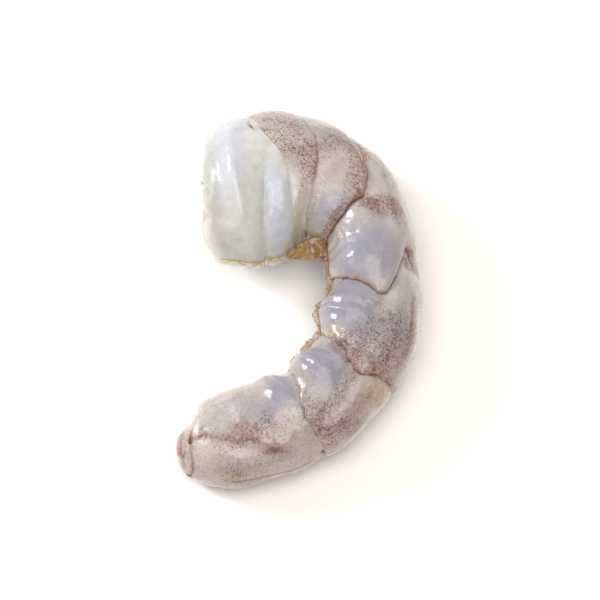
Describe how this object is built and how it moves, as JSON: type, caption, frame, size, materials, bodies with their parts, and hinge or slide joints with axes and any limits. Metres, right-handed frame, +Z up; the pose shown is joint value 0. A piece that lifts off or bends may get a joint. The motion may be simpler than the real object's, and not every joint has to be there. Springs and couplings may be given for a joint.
{
  "type": "raw peeled whiteleg shrimp",
  "caption": "Raw peeled shrimp tail without head or tail fan, curled into an open C and lying on its side, with a bulge of bare flesh at the cut front end.",
  "frame": {"origin": "middle of the bounding box in X and Y, on the surface that the shrimp lies on", "axes": "+Z up from the surface; +Y towards the back of the front segments, along the longest way of the curl; -X is the side where the C is open, with the cut front end and the tail stub"},
  "size_m": [0.035, 0.0566, 0.0187],
  "materials": {
    "flesh": "gloss"
  },
  "bodies": {
    "root": {"shrimp": "flesh"}
  },
  "joints": []
}
